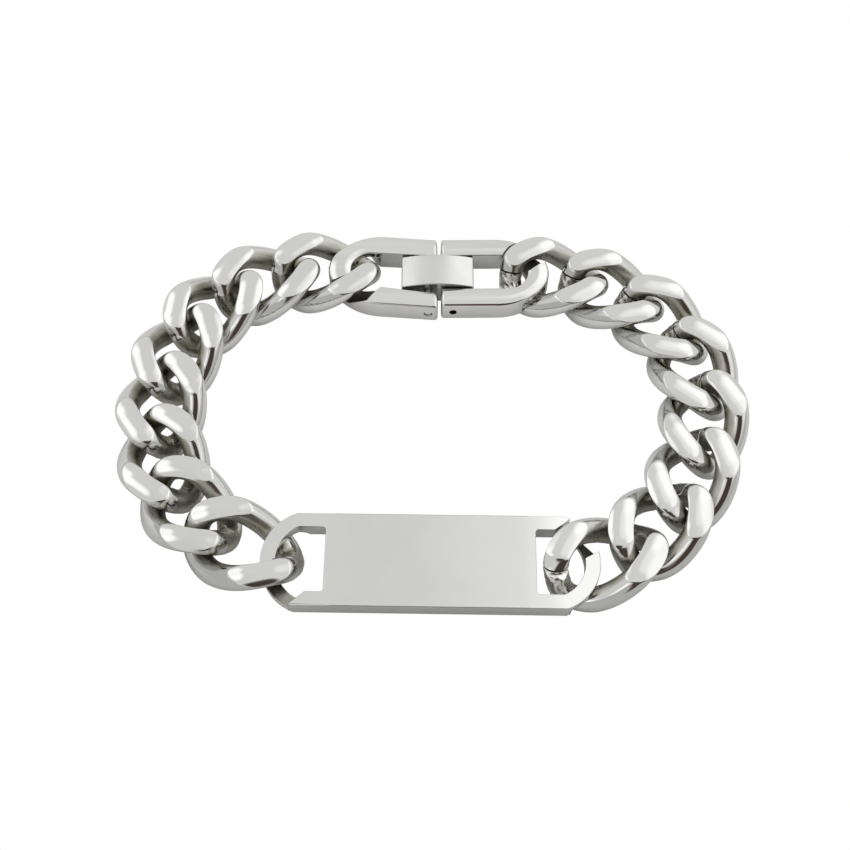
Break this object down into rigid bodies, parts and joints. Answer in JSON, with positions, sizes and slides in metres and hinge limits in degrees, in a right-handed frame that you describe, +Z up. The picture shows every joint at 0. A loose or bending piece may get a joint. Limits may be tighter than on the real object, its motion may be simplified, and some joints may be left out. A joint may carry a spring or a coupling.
{
  "type": "curb chain identity bracelet",
  "caption": "Closed curb-chain identity bracelet of polished steel with a blank plate in front and a hinged fold-over clasp behind.",
  "frame": {"origin": "under the middle of the closed bracelet, on the surface it lies on", "axes": "+X along the identity plate to the right, +Y from the plate to the clasp, +Z up through the thickness"},
  "size_m": [0.089, 0.0608, 0.0053],
  "materials": {
    "plate_steel": "mirror-polished stainless steel with a faint brushed haze",
    "link_steel": "polished stainless steel with ground flat faces",
    "clasp_steel": "polished stainless steel",
    "lock_steel": "satin stainless steel"
  },
  "bodies": {
    "bracelet": {"id_plate": "plate_steel", "link_left_1": "link_steel", "link_left_2": "link_steel", "link_left_3": "link_steel", "link_left_4": "link_steel", "link_left_5": "link_steel", "link_left_6": "link_steel", "link_left_7": "link_steel", "link_left_8": "link_steel", "link_right_1": "link_steel", "link_right_2": "link_steel", "link_right_3": "link_steel", "link_right_4": "link_steel", "link_right_5": "link_steel", "link_right_6": "link_steel", "link_right_7": "link_steel", "link_right_8": "link_steel", "clasp_left": "clasp_steel", "clasp_right": "clasp_steel", "hinge_pin": "clasp_steel"},
    "lock": {"lock_block": "lock_steel"}
  },
  "joints": [
    {"name": "lock_hinge", "type": "hinge", "parent": "bracelet", "child": "lock", "pos_m": [-0.00047, 0.02293, 0.00265], "axis": [0, -1, 0], "range_deg": [0, 75]}
  ]
}
